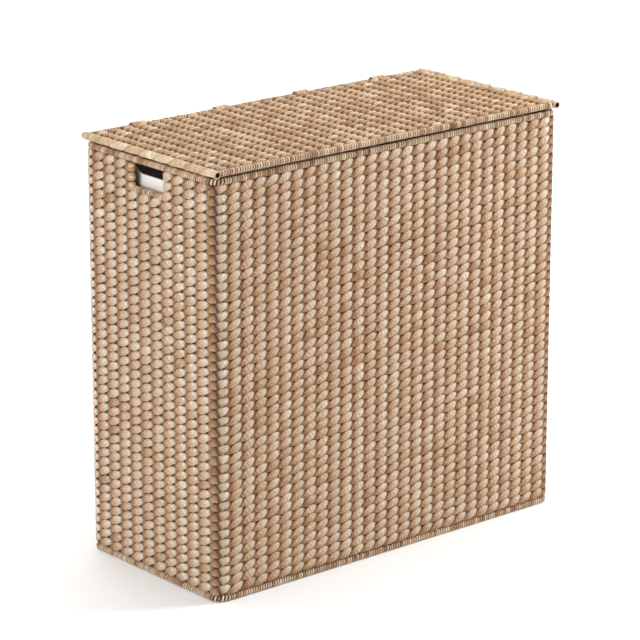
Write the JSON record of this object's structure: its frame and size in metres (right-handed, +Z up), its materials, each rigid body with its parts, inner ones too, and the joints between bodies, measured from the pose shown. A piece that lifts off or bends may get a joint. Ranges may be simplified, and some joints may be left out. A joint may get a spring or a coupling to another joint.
{
  "type": "laundry hamper with lid",
  "caption": "Tall woven laundry hamper on a wire frame, with a rope-hinged lid, hand holes in its ends and cotton liner bags hung inside.",
  "frame": {"origin": "middle of the footprint, on the floor", "axes": "+Z up, +X along the long side towards the right end seen from the front, -Y towards the front, the hinge side is +Y"},
  "size_m": [0.66, 0.3068, 0.635],
  "materials": {
    "frame_wire": "satin",
    "woven_straw": "matte",
    "rim_cord": "matte",
    "wide_rush": "matte",
    "hinge_rope": "matte",
    "liner_cotton": "matte"
  },
  "bodies": {
    "hamper_body": {"top_ring": "frame_wire", "base_ring": "frame_wire", "front_left_post": "frame_wire", "front_right_post": "frame_wire", "back_left_post": "frame_wire", "back_right_post": "frame_wire", "front_middle_post": "frame_wire", "back_middle_post": "frame_wire", "divider_bar": "frame_wire", "left_liner_rail": "frame_wire", "right_liner_rail": "frame_wire", "base_bar_1": "frame_wire", "base_bar_2": "frame_wire", "base_bar_3": "frame_wire", "front_wall": "woven_straw", "back_wall": "woven_straw", "left_wall": "woven_straw", "left_front_shoulder": "woven_straw", "left_back_shoulder": "woven_straw", "right_wall": "woven_straw", "right_front_shoulder": "woven_straw", "right_back_shoulder": "woven_straw", "base_panel": "woven_straw", "top_binding": "rim_cord", "base_binding": "rim_cord", "left_handle_rod": "frame_wire", "left_handle_binding": "rim_cord", "right_handle_rod": "frame_wire", "right_handle_binding": "rim_cord", "left_liner_bag": "liner_cotton", "left_end_tab_front": "liner_cotton", "left_end_tab_back": "liner_cotton", "left_divider_tab_front": "liner_cotton", "left_divider_tab_back": "liner_cotton", "right_liner_bag": "liner_cotton", "right_end_tab_front": "liner_cotton", "right_end_tab_back": "liner_cotton", "right_divider_tab_front": "liner_cotton", "right_divider_tab_back": "liner_cotton"},
    "hinge_loops": {"hinge_loop_1": "hinge_rope", "hinge_loop_2": "hinge_rope", "hinge_loop_3": "hinge_rope", "hinge_loop_4": "hinge_rope"},
    "lid": {"lid_ring": "frame_wire", "lid_bar_1": "frame_wire", "lid_bar_2": "frame_wire", "lid_bar_3": "frame_wire", "lid_panel": "woven_straw", "lid_front_binding": "rim_cord", "lid_back_binding": "rim_cord", "lid_left_roll": "wide_rush", "lid_right_roll": "wide_rush"}
  },
  "joints": [
    {"name": "loop_swing", "type": "hinge", "parent": "hamper_body", "child": "hinge_loops", "pos_m": [0, 0.147, 0.6156], "axis": [-1, 0, 0], "range_deg": [0, 95]},
    {"name": "lid_hinge", "type": "hinge", "parent": "hinge_loops", "child": "lid", "pos_m": [0, 0.147, 0.6277], "axis": [-1, 0, 0], "range_deg": [0, 165]}
  ]
}
